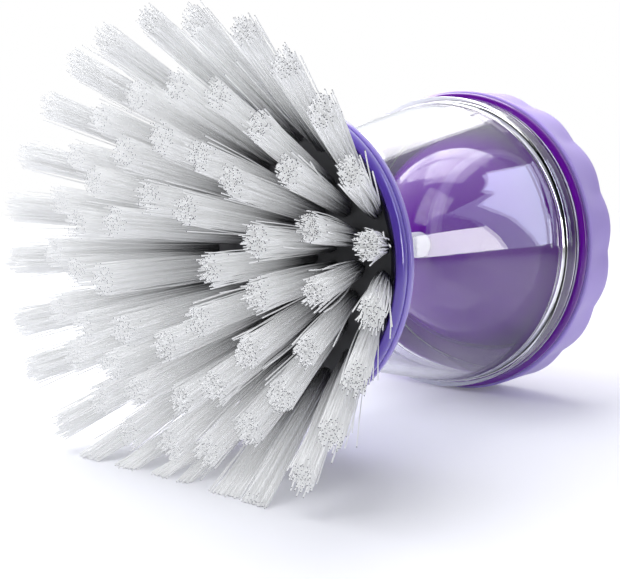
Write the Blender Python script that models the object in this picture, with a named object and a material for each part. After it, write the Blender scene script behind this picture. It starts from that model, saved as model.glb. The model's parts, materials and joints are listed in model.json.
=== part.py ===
"""Pot brush: a palm brush with flared nylon tufts, a clear barrel and a soap cup under a scalloped cap.

The brush lies on its side. Every piece is turned about one axis, which runs from the brush head (negative
heights) to the lid (positive heights). Height zero is the plane of the cap ring. Lengths are in metres.
"""
import math

import bmesh
import bpy
from mathutils import Matrix, Vector

mm = 0.001

# Clearance between pieces that touch
gap = 0.3 * mm

# Facets round a turned piece
large_facets = 36
medium_facets = 24
small_facets = 16
slim_facets = 12

# Barrel
barrel_neck_radius = 21.2 * mm
barrel_neck_depth = 3.0 * mm
barrel_mouth_radius = 34.0 * mm
barrel_wall = 2.0 * mm
barrel_bulge = 0.8 * mm
barrel_length = 54.0 * mm
barrel_lip_depth = 4.0 * mm
barrel_lip_wall = 2.4 * mm
barrel_lip_step = 1.0 * mm
barrel_lip_overhang = 1.1 * mm
barrel_steps = 6

# Cap ring and its seal
ring_gasket_thickness = 0.6 * mm
ring_gasket_width = 1.8 * mm
cap_ring_overhang = 2.1 * mm
cap_ring_band = 2.7 * mm
cap_ring_below = 1.2 * mm
cap_ring_edge = 0.5 * mm
cap_wall = 1.8 * mm
cap_wall_height = 8.4 * mm

# Scalloped grip
grip_scallops = 16
grip_facets_per_scallop = 4
grip_overhang = 0.1 * mm
grip_valley_depth = 0.9 * mm
grip_length = 10.6 * mm
grip_edge = 1.2 * mm

# Soap cup
cup_inset = 3.7 * mm
cup_wall = 1.6 * mm
cup_centre_height = 13.5 * mm
cup_lip_step = 0.2 * mm
cup_lip_thickness = 1.5 * mm
cup_seal_thickness = 0.5 * mm
cup_seal_width = 1.2 * mm
cup_steps = 8
drain_radius = 2.4 * mm
drain_spigot_radius = 3.3 * mm
drain_spigot_length = 5.5 * mm

# Tube, bulkhead and valve
tube_radius = 5.0 * mm
tube_bore_radius = 3.6 * mm
bulkhead_thickness = 1.6 * mm
bulkhead_boss_radius = 6.6 * mm
bulkhead_boss_height = 4.6 * mm
valve_seat_bore_radius = 2.5 * mm
valve_seat_thickness = 1.4 * mm
valve_ledge = 0.5 * mm
poppet_radius = 3.2 * mm
poppet_length = 2.5 * mm

# Neck ring
collar_overhang = 10.8 * mm
collar_edge = 0.5 * mm
neck_band_height = 2.3 * mm
neck_wall = 3.1 * mm
neck_cavity_wall = 4.5 * mm
neck_cavity_depth = 2.7 * mm
neck_shoulder_inset = 2.7 * mm
neck_socket_wall = 1.5 * mm

# Brush head
rim_height = 3.0 * mm
rim_sleeve_wall = 0.8 * mm
rim_sleeve_drop = 0.8 * mm
rim_mouth_inset = 1.4 * mm
slice_thickness = 1.6 * mm
plate_thickness = 1.7 * mm
head_gasket_thickness = 0.7 * mm
head_gasket_inset = 3.2 * mm
head_gasket_width = 6.0 * mm
nozzle_radius = 4.9 * mm
nozzle_bore_radius = 3.7 * mm
nozzle_reach = 1.8 * mm

# Bristles: for each ring, inside out, the count of tufts, the place of their roots as a share of the backing's
# radius, how far they flare and reach from root to tip, and the turn of the first tuft
ring_tufts = (8, 15, 20, 25)
ring_root_shares = (0.277, 0.484, 0.698, 0.924)
ring_flare = (6.4 * mm, 11.1 * mm, 14.9 * mm, 20.8 * mm)
ring_reach = (36.4 * mm, 34.8 * mm, 31.7 * mm, 32.1 * mm)
ring_turn_degrees = (35.4, 16.7, 0.0, 10.8)
strands_per_tuft = 6
tuft_root_radius = 1.15 * mm
tuft_tip_radius = 1.7 * mm
strand_radius = 0.55 * mm
strand_sides = 3
strand_root_depth = 0.8 * mm
floor_cut = 0.5 * mm
floor_press = 7.5 * mm

# Lid
lid_thickness = 1.8 * mm
lid_edge = 0.6 * mm
lid_gasket_thickness = 0.6 * mm
lid_gasket_width = 4.0 * mm
lid_spigot_clearance = 0.8 * mm
lid_spigot_wall = 1.4 * mm
lid_spigot_length = 3.8 * mm
well_radius = 10.2 * mm
well_wall = 1.4 * mm
well_floor = 1.4 * mm
well_depth = 3.6 * mm
well_rim = 1.2 * mm
shank_guide_wall = 2.5 * mm
shank_guide_length = 2.6 * mm

# Button
button_travel = 3.5 * mm
button_radius = 9.7 * mm
button_edge_height = 1.6 * mm
button_crown = 2.9 * mm
button_crown_steps = 4
shank_radius = 3.1 * mm
shank_clearance = 0.4 * mm
shank_end_length = 0.4 * mm
clip_groove_depth = 0.6 * mm
clip_thickness = 0.7 * mm
clip_reach = 1.5 * mm

# Stem, washer and spring
stem_radius = 1.6 * mm
stem_head_radius = 3.4 * mm
stem_head_thickness = 1.4 * mm
stem_rivet_radius = 2.4 * mm
stem_rivet_thickness = 0.7 * mm
washer_thickness = 0.7 * mm
washer_radius = 4.4 * mm
guide_hub_radius = 4.6 * mm
guide_hub_height = 3.0 * mm
guide_rise = 5.0 * mm
guide_ring_thickness = 1.5 * mm
guide_ring_wall = 1.5 * mm
guide_clearance = 0.4 * mm
guide_arms = 3
guide_arm_width = 2.4 * mm
spring_wire_radius = 0.35 * mm
spring_radius = 2.9 * mm
spring_turns = 6
spring_points_per_turn = 10

# Radii that the heights need
cap_ring_radius = barrel_mouth_radius + cap_ring_overhang
cap_ring_inner_radius = barrel_mouth_radius - barrel_lip_wall
cup_radius = cap_ring_inner_radius - cup_inset

# Heights along the axis, from the cap ring to the brush and then from the cap ring to the lid
cap_ring_bottom = -cap_ring_below
cap_ring_top = cap_ring_bottom + cap_ring_band
ring_gasket_top = cap_ring_bottom - gap
barrel_top = ring_gasket_top - ring_gasket_thickness - gap
barrel_bottom = barrel_top - barrel_length
bulkhead_top = barrel_bottom - gap
bulkhead_bottom = bulkhead_top - bulkhead_thickness
neck_socket_top = bulkhead_top + barrel_neck_depth
neck_top = bulkhead_bottom - neck_cavity_depth
neck_bottom = neck_top - neck_band_height
boss_top = bulkhead_top + bulkhead_boss_height
seat_bottom = bulkhead_bottom + valve_ledge + gap
seat_top = seat_bottom + valve_seat_thickness
tube_bottom = seat_top + gap
cup_apex = cup_centre_height - cup_radius
tube_top = cup_apex - gap
poppet_top = seat_bottom - gap
poppet_bottom = poppet_top - poppet_length
stem_rivet_top = poppet_bottom - gap
stem_bottom = stem_rivet_top - stem_rivet_thickness

head_gasket_top = bulkhead_bottom - gap
head_gasket_bottom = head_gasket_top - head_gasket_thickness
plate_top = head_gasket_bottom - gap
plate_bottom = plate_top - plate_thickness
slice_top = plate_bottom - gap
slice_bottom = slice_top - slice_thickness
rim_top = neck_bottom - gap
rim_bottom = rim_top - rim_height
rim_sleeve_top = slice_top - rim_sleeve_drop
neck_web_bottom = rim_sleeve_top + gap

cap_wall_top = cap_wall_height
cup_seal_bottom = cap_wall_top + gap
cup_seal_top = cup_seal_bottom + cup_seal_thickness
cup_lip_bottom = cup_seal_top + gap
cup_lip_top = cup_lip_bottom + cup_lip_thickness
lid_gasket_bottom = cup_lip_top + gap
lid_gasket_top = lid_gasket_bottom + lid_gasket_thickness
lid_bottom = lid_gasket_top + gap
lid_top = lid_bottom + lid_thickness
well_top = lid_top + well_rim
well_floor_top = well_top - well_depth
well_floor_bottom = well_floor_top - well_floor
shank_guide_bottom = well_floor_top - shank_guide_length
grip_bottom = cap_ring_top + gap
grip_top = grip_bottom + grip_length

button_bottom = well_floor_top + button_travel + gap
button_edge_top = button_bottom + button_edge_height
button_top = button_edge_top + button_crown
clip_top = shank_guide_bottom - gap
clip_bottom = clip_top - clip_thickness
shank_bottom = clip_bottom - gap - shank_end_length
stem_top = shank_bottom - gap
stem_head_bottom = stem_top - stem_head_thickness
washer_top = stem_head_bottom - gap
washer_bottom = washer_top - washer_thickness
guide_bottom = cup_apex + cup_wall + guide_rise
guide_top = guide_bottom + guide_ring_thickness
hub_bottom = guide_top - guide_hub_height

# Radii that follow from the pieces that they fit
cap_wall_radius = cap_ring_inner_radius + cap_wall
grip_peak_radius = cap_ring_radius + grip_overhang
grip_inner_radius = cap_wall_radius + gap
cup_inner_radius = cup_radius - cup_wall
cup_lip_radius = cap_wall_radius - cup_lip_step
lid_radius = cup_lip_radius
lid_spigot_bottom = lid_bottom - lid_spigot_length
lid_spigot_height = cup_centre_height - lid_spigot_bottom
lid_spigot_radius = math.sqrt(cup_inner_radius ** 2 - lid_spigot_height ** 2) - lid_spigot_clearance
barrel_neck_bore = barrel_neck_radius - barrel_wall
barrel_shoulder_radius = barrel_mouth_radius - barrel_lip_overhang
collar_radius = barrel_neck_radius + collar_overhang
rim_mouth_radius = collar_radius - rim_mouth_inset
neck_cavity_radius = collar_radius - neck_cavity_wall
neck_shoulder_radius = collar_radius - neck_shoulder_inset
neck_socket_bore = barrel_neck_radius + gap
neck_socket_radius = neck_socket_bore + neck_socket_wall
neck_bore = collar_radius - neck_wall
rim_sleeve_radius = neck_bore - gap
rim_sleeve_bore = rim_sleeve_radius - rim_sleeve_wall
slice_outer_radius = rim_sleeve_bore - gap
plate_radius = neck_cavity_radius - gap
plate_bore = nozzle_radius + gap
head_gasket_outer_radius = plate_radius - head_gasket_inset
head_gasket_inner_radius = head_gasket_outer_radius - head_gasket_width
ring_root_radius = [share * slice_outer_radius for share in ring_root_shares]
ring_tip_radius = [root + flare for root, flare in zip(ring_root_radius, ring_flare)]
bulkhead_radius = barrel_neck_bore - gap
seat_pocket_radius = tube_radius + gap
stem_bore_radius = stem_radius + guide_clearance
shank_bore_radius = shank_radius + shank_clearance
clip_groove_radius = shank_radius - clip_groove_depth

# The tilt at which the brush rests: the floor presses the lowest tufts in, cuts them flat and meets the grip's end
tuft_spread = (tuft_tip_radius + strand_radius) * math.cos(math.pi / strands_per_tuft)
lowest_tuft_radius = ring_tip_radius[-1] - floor_press
grip_low_radius = grip_peak_radius * math.cos(math.pi / grip_scallops)
grip_low_height = grip_top - grip_edge
floor_slope = (lowest_tuft_radius + tuft_spread - floor_cut - grip_low_radius) / (
    grip_low_height - slice_bottom + ring_reach[-1])

collection = bpy.context.scene.collection


def clear_scene():
    """Remove the objects that the file holds, and their meshes."""
    for thing in list(bpy.data.objects):
        bpy.data.objects.remove(thing, do_unlink=True)
    for mesh in list(bpy.data.meshes):
        bpy.data.meshes.remove(mesh)


def make_material(name, colour, roughness, metallic=0.0, transmission=0.0):
    """Return a plain surface with the colour and gloss that the photographed piece has."""
    material = bpy.data.materials.new(name)
    material.use_nodes = True
    shader = material.node_tree.nodes["Principled BSDF"]
    shader.inputs["Base Color"].default_value = (*colour, 1.0)
    shader.inputs["Roughness"].default_value = roughness
    shader.inputs["Metallic"].default_value = metallic
    shader.inputs["Transmission Weight"].default_value = transmission
    material.diffuse_color = (*colour, 1.0)
    return material


clear_scene()
clear_plastic = make_material("clear_plastic", (0.86, 0.88, 0.92), 0.05, transmission=0.9)
purple_gloss = make_material("purple_gloss", (0.12, 0.01, 0.33), 0.12)
violet_gloss = make_material("violet_gloss", (0.25, 0.13, 0.68), 0.18)
lavender_soft = make_material("lavender_soft", (0.45, 0.34, 0.85), 0.45)
white_plastic = make_material("white_plastic", (0.80, 0.81, 0.83), 0.35)
white_nylon = make_material("white_nylon", (0.85, 0.86, 0.88), 0.40)
dark_plastic = make_material("dark_plastic", (0.05, 0.05, 0.055), 0.50)
pale_rubber = make_material("pale_rubber", (0.60, 0.60, 0.66), 0.60)
spring_steel = make_material("spring_steel", (0.62, 0.62, 0.64), 0.25, metallic=1.0)

# The axis empty carries every piece; it is tilted and raised once the pieces are made.
brush_axis = bpy.data.objects.new("brush_axis", None)
collection.objects.link(brush_axis)


def place(name, mesh, material):
    """Put a mesh on the brush axis as a named piece with smooth turned faces and sharp edges."""
    mesh.materials.append(material)
    mesh.shade_smooth()
    mesh.set_sharp_from_angle(angle=math.radians(35))
    piece = bpy.data.objects.new(name, mesh)
    piece.parent = brush_axis
    collection.objects.link(piece)
    return piece


def spin_outline(outline, facets):
    """Turn a closed outline of (radius, height) points about the axis and return the bmesh.

    An outline whose first and last points lie on the axis makes a solid piece, and any other makes a ring.
    """
    shape = bmesh.new()
    corners = [shape.verts.new((radius, 0, height)) for radius, height in outline]
    edges = [shape.edges.new(pair) for pair in zip(corners, corners[1:])]
    solid = outline[0][0] == 0 and outline[-1][0] == 0
    if not solid:
        edges.append(shape.edges.new((corners[-1], corners[0])))
    bmesh.ops.spin(shape, geom=corners + edges, axis=(0, 0, 1), cent=(0, 0, 0),
                   angle=math.tau, steps=facets, use_merge=True)
    bmesh.ops.remove_doubles(shape, verts=shape.verts, dist=gap / facets)
    bmesh.ops.recalc_face_normals(shape, faces=shape.faces)
    return shape


def to_mesh(name, shape):
    """Write a bmesh to a new mesh."""
    mesh = bpy.data.meshes.new(name)
    shape.to_mesh(mesh)
    shape.free()
    return mesh


def turned(name, outline, facets, material):
    """Make a named turned piece from its outline."""
    return place(name, to_mesh(name, spin_outline(outline, facets)), material)


def flat_ring(name, inner_radius, outer_radius, bottom, top, facets, material):
    """Make a plain ring, such as a gasket or a washer."""
    outline = [(inner_radius, bottom), (outer_radius, bottom), (outer_radius, top), (inner_radius, top)]
    return turned(name, outline, facets, material)


def arc_points(centre_height, radius, start_radius, end_radius, steps):
    """Points of the lower half of a circle centred on the axis, between two radii from the axis."""
    start = math.asin(start_radius / radius)
    end = math.asin(end_radius / radius)
    turns = [start + (end - start) * step / steps for step in range(steps + 1)]
    return [(radius * math.sin(turn), centre_height - radius * math.cos(turn)) for turn in turns]


def sphere_radius_at(radius, height):
    """Distance from the axis of a sphere round the cup's centre at a height on the axis."""
    return math.sqrt(radius ** 2 - (cup_centre_height - height) ** 2)


def union(piece, other):
    """Join another piece's solid to a piece with an exact Boolean, and remove the other."""
    modifier = piece.modifiers.new("join_" + other.name, "BOOLEAN")
    modifier.operation = "UNION"
    modifier.solver = "EXACT"
    modifier.object = other
    bpy.context.view_layer.update()
    graph = bpy.context.evaluated_depsgraph_get()
    mesh = bpy.data.meshes.new_from_object(piece.evaluated_get(graph))
    piece.modifiers.clear()
    piece.data = mesh
    bpy.data.objects.remove(other, do_unlink=True)


def build_barrel():
    """The clear barrel: a straight neck, a bulged taper and a thick lip at the cap ring."""
    def barrel_radius(share):
        straight = barrel_neck_radius + (barrel_shoulder_radius - barrel_neck_radius) * share
        return straight + barrel_bulge * math.sin(math.pi * share)

    lip_bottom = barrel_top - barrel_lip_depth
    taper_top = lip_bottom - barrel_lip_step
    taper_bottom = barrel_bottom + barrel_neck_depth
    outer = [(barrel_neck_radius, barrel_bottom)]
    inner = [(barrel_neck_bore, barrel_bottom)]
    for step in range(barrel_steps + 1):
        share = step / barrel_steps
        height = taper_bottom + (taper_top - taper_bottom) * share
        outer.append((barrel_radius(share), height))
        inner.append((barrel_radius(share) - barrel_wall, height))
    lip_outer = [(barrel_mouth_radius, lip_bottom), (barrel_mouth_radius, barrel_top)]
    lip_bore = barrel_mouth_radius - barrel_lip_wall
    lip_inner = [(lip_bore, barrel_top), (lip_bore, lip_bottom)]
    turned("clear_shell", outer + lip_outer + lip_inner + inner[::-1], large_facets, clear_plastic)


def build_cap_ring():
    """The glossy ring on the barrel's mouth, its seal, and the wall that carries the grip and the cup."""
    turned("cap_ring", [
        (cap_ring_inner_radius, cap_ring_bottom),
        (cap_ring_radius - cap_ring_edge, cap_ring_bottom),
        (cap_ring_radius, cap_ring_bottom + cap_ring_edge),
        (cap_ring_radius, cap_ring_top - cap_ring_edge),
        (cap_ring_radius - cap_ring_edge, cap_ring_top),
        (cap_wall_radius, cap_ring_top),
        (cap_wall_radius, cap_wall_top),
        (cap_ring_inner_radius, cap_wall_top),
    ], large_facets, purple_gloss)
    gasket_outer = barrel_mouth_radius - gap
    flat_ring("ring_gasket", gasket_outer - ring_gasket_width, gasket_outer,
              ring_gasket_top - ring_gasket_thickness, ring_gasket_top, large_facets, pale_rubber)


def build_grip():
    """The soft ring with a scalloped edge, whose scallops straddle the lowest point of the brush."""
    facets = grip_scallops * grip_facets_per_scallop
    outline = [
        (grip_inner_radius, grip_bottom),
        (grip_peak_radius - cap_ring_edge, grip_bottom),
        (grip_peak_radius, grip_bottom + cap_ring_edge),
        (grip_peak_radius, grip_top - grip_edge),
        (grip_peak_radius - grip_edge / 2, grip_top - grip_edge / 4),
        (grip_peak_radius - grip_edge, grip_top),
        (grip_inner_radius, grip_top),
    ]
    shape = spin_outline(outline, facets)
    for corner in shape.verts:
        radius = math.hypot(corner.co.x, corner.co.y)
        turn = math.atan2(corner.co.y, corner.co.x)
        height_share = min(1, max(0, (corner.co.z - grip_bottom) / (grip_length / 2)))
        valley = grip_valley_depth * height_share * (1 - abs(math.sin(grip_scallops * turn / 2)))
        if radius > grip_inner_radius + gap:
            corner.co.x *= (radius - valley) / radius
            corner.co.y *= (radius - valley) / radius
    place("flower_grip", to_mesh("flower_grip", shape), lavender_soft)


def build_cup():
    """The domed soap cup that shows through the barrel, with its lip, its seal and its drain spigot."""
    lip_start_radius = sphere_radius_at(cup_radius, cup_lip_bottom)
    spigot_height = cup_centre_height - math.sqrt(cup_radius ** 2 - drain_spigot_radius ** 2)
    outer = arc_points(cup_centre_height, cup_radius, drain_spigot_radius, lip_start_radius, cup_steps)
    inner_start = sphere_radius_at(cup_inner_radius, cup_lip_top)
    inner = arc_points(cup_centre_height, cup_inner_radius, drain_radius, inner_start, cup_steps)
    spigot_bottom = spigot_height - drain_spigot_length
    spigot = [(drain_radius, spigot_bottom), (drain_spigot_radius, spigot_bottom)]
    lip = [(cup_lip_radius, cup_lip_bottom), (cup_lip_radius, cup_lip_top)]
    turned("soap_cup", spigot + outer + lip + inner[::-1], large_facets, purple_gloss)
    seal_inner = cap_ring_inner_radius + gap
    flat_ring("cup_seal", seal_inner, seal_inner + cup_seal_width, cup_seal_bottom, cup_seal_top,
              large_facets, pale_rubber)


def build_tube_and_bulkhead():
    """The tube from the cup to the neck, the bulkhead that closes the barrel there, and the valve seat."""
    flat_ring("outlet_tube", tube_bore_radius, tube_radius, tube_bottom, tube_top, small_facets, white_plastic)
    turned("bulkhead", [
        (tube_bore_radius, bulkhead_bottom),
        (bulkhead_radius, bulkhead_bottom),
        (bulkhead_radius, bulkhead_top),
        (bulkhead_boss_radius, bulkhead_top),
        (bulkhead_boss_radius, boss_top),
        (seat_pocket_radius, boss_top),
        (seat_pocket_radius, bulkhead_bottom + valve_ledge),
        (tube_bore_radius, bulkhead_bottom + valve_ledge),
    ], medium_facets, white_plastic)
    flat_ring("valve_seat", valve_seat_bore_radius, tube_radius, seat_bottom, seat_top, small_facets,
              pale_rubber)


def build_neck_ring():
    """The rear band of the collar, with the shoulder whose socket holds the barrel's neck and the bulkhead."""
    turned("neck_ring", [
        (neck_bore, neck_bottom),
        (collar_radius - collar_edge / 2, neck_bottom),
        (collar_radius, neck_bottom + collar_edge),
        (collar_radius - collar_edge / 2, neck_top - collar_edge),
        (collar_radius - 2 * collar_edge, neck_top),
        (neck_shoulder_radius, bulkhead_bottom),
        (neck_socket_radius, neck_socket_top),
        (neck_socket_bore, neck_socket_top),
        (neck_socket_bore, bulkhead_top),
        (barrel_neck_bore, bulkhead_top),
        (barrel_neck_bore, bulkhead_bottom),
        (neck_cavity_radius, bulkhead_bottom),
        (neck_cavity_radius, plate_bottom),
        (rim_sleeve_bore, plate_bottom),
        (rim_sleeve_bore, neck_web_bottom),
        (neck_bore, neck_web_bottom),
    ], large_facets, violet_gloss)


def build_head():
    """The front band of the collar, the plate behind the bristles, its seal and the nozzle."""
    turned("head_rim", [
        (rim_sleeve_bore, rim_sleeve_top),
        (rim_sleeve_bore, slice_bottom),
        (rim_mouth_radius, rim_bottom + collar_edge),
        (rim_mouth_radius + collar_edge, rim_bottom),
        (collar_radius - collar_edge, rim_bottom + collar_edge / 2),
        (collar_radius, rim_bottom + 3 * collar_edge),
        (collar_radius - collar_edge / 2, rim_top),
        (rim_sleeve_radius, rim_top),
        (rim_sleeve_radius, rim_sleeve_top),
    ], large_facets, violet_gloss)
    flat_ring("brush_plate", plate_bore, plate_radius, plate_bottom, plate_top, large_facets, dark_plastic)
    flat_ring("head_gasket", head_gasket_inner_radius, head_gasket_outer_radius,
              head_gasket_bottom, head_gasket_top, medium_facets, pale_rubber)
    flat_ring("nozzle", nozzle_bore_radius, nozzle_radius, slice_bottom - nozzle_reach, plate_top,
              small_facets, dark_plastic)


def slice_limits(ring):
    """Inner and outer radius of the slice of backing that carries a ring of tufts."""
    middles = [(a + b) / 2 for a, b in zip(ring_root_radius, ring_root_radius[1:])]
    inner = nozzle_radius + gap if ring == 0 else middles[ring - 1] + gap / 2
    outer = slice_outer_radius if ring == len(ring_tufts) - 1 else middles[ring] - gap / 2
    return inner, outer


def add_strand(shape, root, tip, root_turn):
    """Add a closed faceted strand from a root point to a tip point."""
    loops = []
    for centre in (root, tip):
        corners = []
        for side in range(strand_sides):
            turn = root_turn + math.tau * side / strand_sides
            offset = Vector((math.cos(turn), math.sin(turn), 0)) * strand_radius
            corners.append(shape.verts.new(centre + offset))
        loops.append(corners)
    shape.faces.new(loops[0])
    shape.faces.new(loops[1][::-1])
    for side in range(strand_sides):
        following = (side + 1) % strand_sides
        shape.faces.new((loops[0][following], loops[0][side], loops[1][side], loops[1][following]))


def tuft_strands(ring, tuft):
    """Root and tip points of a tuft's strands, spread evenly on a circle that widens towards the tips.

    Local +X points at the floor, which presses in a tuft that would reach through it.
    """
    turn = math.radians(ring_turn_degrees[ring]) + math.tau * tuft / ring_tufts[ring]
    outward = Vector((-math.sin(turn), math.cos(turn), 0))
    across = Vector((math.cos(turn), math.sin(turn), 0))
    root_height = slice_bottom + strand_root_depth
    tip_height = slice_bottom - ring_reach[ring]
    tip_centre = outward * ring_tip_radius[ring] + Vector((0, 0, tip_height))
    floor_distance = grip_low_radius + (grip_low_height - tip_height) * floor_slope
    tip_centre.x = min(tip_centre.x, floor_distance + floor_cut - tuft_spread)
    strands = []
    for strand in range(strands_per_tuft):
        place_turn = math.tau * (strand + 1 / 2) / strands_per_tuft
        spread = outward * math.cos(place_turn) + across * math.sin(place_turn)
        root = outward * ring_root_radius[ring] + spread * tuft_root_radius + Vector((0, 0, root_height))
        tip = tip_centre + spread * tuft_tip_radius
        strands.append((root, tip, math.atan2(spread.y, spread.x)))
    return strands


def build_bristle_ring(ring):
    """One ring of tufts, joined to its slice of the backing, and cut flat where it rests on the floor."""
    inner, outer = slice_limits(ring)
    name = "bristle_ring_%d" % (ring + 1)
    piece = flat_ring(name, inner, outer, slice_bottom, slice_top, large_facets, white_nylon)
    shape = bmesh.new()
    for tuft in range(ring_tufts[ring]):
        for root, tip, root_turn in tuft_strands(ring, tuft):
            add_strand(shape, root, tip, root_turn)
    bmesh.ops.recalc_face_normals(shape, faces=shape.faces)
    union(piece, place(name + "_strands", to_mesh(name + "_strands", shape), white_nylon))
    return piece


def build_stem():
    """The stem with its poppet, washer and clip, and the coil spring that lifts it."""
    turned("stem", [
        (0, stem_bottom), (stem_rivet_radius, stem_bottom), (stem_rivet_radius, stem_rivet_top),
        (stem_radius, stem_rivet_top), (stem_radius, stem_head_bottom), (stem_head_radius, stem_head_bottom),
        (stem_head_radius, stem_top), (0, stem_top),
    ], slim_facets, white_plastic)
    flat_ring("poppet", stem_radius + gap, poppet_radius, poppet_bottom, poppet_top, small_facets, pale_rubber)
    flat_ring("stem_washer", stem_radius + gap, washer_radius, washer_bottom, washer_top, small_facets,
              spring_steel)

    curve = bpy.data.curves.new("return_spring", "CURVE")
    curve.dimensions = "3D"
    curve.bevel_depth = spring_wire_radius
    curve.bevel_resolution = 1
    curve.render_resolution_u = 0
    curve.use_fill_caps = True
    spline = curve.splines.new("POLY")
    count = spring_turns * spring_points_per_turn
    spline.points.add(count)
    bottom = guide_top + gap + spring_wire_radius
    top = washer_bottom - gap - spring_wire_radius
    for step in range(count + 1):
        turn = math.tau * step / spring_points_per_turn
        height = bottom + (top - bottom) * step / count
        spline.points[step].co = (spring_radius * math.cos(turn), spring_radius * math.sin(turn), height, 1)
    curve.materials.append(spring_steel)
    spring = bpy.data.objects.new("return_spring", curve)
    spring.parent = brush_axis
    collection.objects.link(spring)


def build_stem_guide():
    """The guide in the cup: a ring seated on the cup's wall, three arms, and the hub round the stem."""
    low_radius = sphere_radius_at(cup_inner_radius, guide_bottom) - gap
    high_radius = sphere_radius_at(cup_inner_radius, guide_top) - gap
    bore = low_radius - guide_ring_wall
    guide = turned("stem_guide", [
        (bore, guide_bottom), (low_radius, guide_bottom), (high_radius, guide_top), (bore, guide_top),
    ], medium_facets, white_plastic)
    hub = flat_ring("guide_hub", stem_bore_radius, guide_hub_radius, hub_bottom, guide_top, small_facets,
                    white_plastic)
    arm_start = (stem_bore_radius + guide_hub_radius) / 2
    arm_end = bore + guide_ring_wall / 2
    arm_inset = guide_ring_thickness / 4
    arms = bmesh.new()
    for arm in range(guide_arms):
        turn = Matrix.Rotation(math.tau * arm / guide_arms, 4, "Z")
        size = (arm_end - arm_start, guide_arm_width, guide_ring_thickness - 2 * arm_inset)
        centre = ((arm_start + arm_end) / 2, 0, (guide_bottom + guide_top) / 2)
        matrix = turn @ Matrix.Translation(centre) @ Matrix.Diagonal((*size, 1))
        bmesh.ops.create_cube(arms, size=1, matrix=matrix)
    arm_piece = place("guide_arms", to_mesh("guide_arms", arms), white_plastic)
    union(guide, hub)
    union(guide, arm_piece)


def build_lid():
    """The lid behind the cup, with a well for the button, and the seal that it presses on the cup's lip."""
    well_outer = well_radius + well_wall
    guide_radius = shank_bore_radius + shank_guide_wall
    turned("lid_plate", [
        (shank_bore_radius, shank_guide_bottom),
        (guide_radius, shank_guide_bottom),
        (guide_radius, well_floor_bottom),
        (well_outer, well_floor_bottom),
        (well_outer, lid_bottom),
        (lid_spigot_radius - lid_spigot_wall, lid_bottom),
        (lid_spigot_radius - lid_spigot_wall, lid_spigot_bottom),
        (lid_spigot_radius, lid_spigot_bottom),
        (lid_spigot_radius, lid_bottom),
        (lid_radius, lid_bottom),
        (lid_radius, lid_top - lid_edge),
        (lid_radius - lid_edge, lid_top),
        (well_outer + lid_edge, lid_top),
        (well_outer, well_top),
        (well_radius, well_top),
        (well_radius, well_floor_top),
        (shank_bore_radius, well_floor_top),
    ], large_facets, purple_gloss)
    gasket_outer = lid_radius - gap
    flat_ring("lid_gasket", gasket_outer - lid_gasket_width, gasket_outer, lid_gasket_bottom, lid_gasket_top,
              large_facets, pale_rubber)


def build_button():
    """The push button in the lid's well, and the clip that keeps its shank in the lid."""
    crown = []
    for step in range(1, button_crown_steps):
        turn = math.pi / 2 * step / button_crown_steps
        crown.append((button_radius * math.cos(turn), button_edge_top + button_crown * math.sin(turn)))
    turned("push_button", [
        (0, shank_bottom),
        (shank_radius, shank_bottom),
        (shank_radius, clip_bottom - gap),
        (clip_groove_radius, clip_bottom - gap),
        (clip_groove_radius, clip_top + gap),
        (shank_radius, clip_top + gap),
        (shank_radius, button_bottom),
        (button_radius, button_bottom),
        (button_radius, button_edge_top),
        *crown,
        (0, button_top),
    ], medium_facets, lavender_soft)
    clip_bore_radius = clip_groove_radius + gap
    flat_ring("button_clip", clip_bore_radius, clip_bore_radius + clip_reach, clip_bottom, clip_top,
              small_facets, spring_steel)


def seat_on_floor(tilt):
    """Lay the brush axis over, cut the tufts where they meet the floor, and centre the brush over the origin."""
    brush_axis.rotation_euler = (0, math.pi / 2 + tilt, 0)
    bpy.context.view_layer.update()
    pieces = [thing for thing in collection.objects if thing.type != "EMPTY"]
    grip = bpy.data.objects["flower_grip"]
    floor_height = min((brush_axis.matrix_world @ corner.co).z for corner in grip.data.vertices)
    brush_axis.location.z = -floor_height
    bpy.context.view_layer.update()
    for piece in pieces:
        if piece.name.startswith("bristle_ring"):
            cut_at_floor(piece)
    bpy.context.view_layer.update()
    graph = bpy.context.evaluated_depsgraph_get()
    along, across = [], []
    for piece in pieces:
        mesh = bpy.data.meshes.new_from_object(piece.evaluated_get(graph))
        for corner in mesh.vertices:
            place_in_world = piece.matrix_world @ corner.co
            along.append(place_in_world.x)
            across.append(place_in_world.y)
        bpy.data.meshes.remove(mesh)
    brush_axis.location.x = -(min(along) + max(along)) / 2
    brush_axis.location.y = -(min(across) + max(across)) / 2
    bpy.context.view_layer.update()


def cut_at_floor(piece):
    """Cut a bristle ring flat at the floor and close the cut strands."""
    to_piece = piece.matrix_world.inverted()
    shape = bmesh.new()
    shape.from_mesh(piece.data)
    cut = bmesh.ops.bisect_plane(
        shape, geom=shape.verts[:] + shape.edges[:] + shape.faces[:], dist=gap / 1000,
        plane_co=to_piece @ Vector((0, 0, 0)), plane_no=to_piece.to_3x3() @ Vector((0, 0, 1)), clear_inner=True)
    rims = [edge for edge in cut["geom_cut"] if isinstance(edge, bmesh.types.BMEdge)]
    if rims:
        bmesh.ops.holes_fill(shape, edges=rims, sides=0)
        bmesh.ops.recalc_face_normals(shape, faces=shape.faces)
    shape.to_mesh(piece.data)
    shape.free()


build_barrel()
build_cap_ring()
build_grip()
build_cup()
build_tube_and_bulkhead()
build_neck_ring()
build_head()
for ring_number in range(len(ring_tufts)):
    build_bristle_ring(ring_number)
build_stem()
build_stem_guide()
build_lid()
build_button()
seat_on_floor(math.atan(floor_slope))
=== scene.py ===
"""The looks of a pot brush with flared nylon tufts, a clear barrel and a soap cup under a scalloped cap.

Every turned piece is modelled upright about +Z, with the plane of the cap ring at height zero and the
bristles below it, and is then laid over onto the axis on which the brush lies.
"""

from __future__ import annotations

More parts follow.
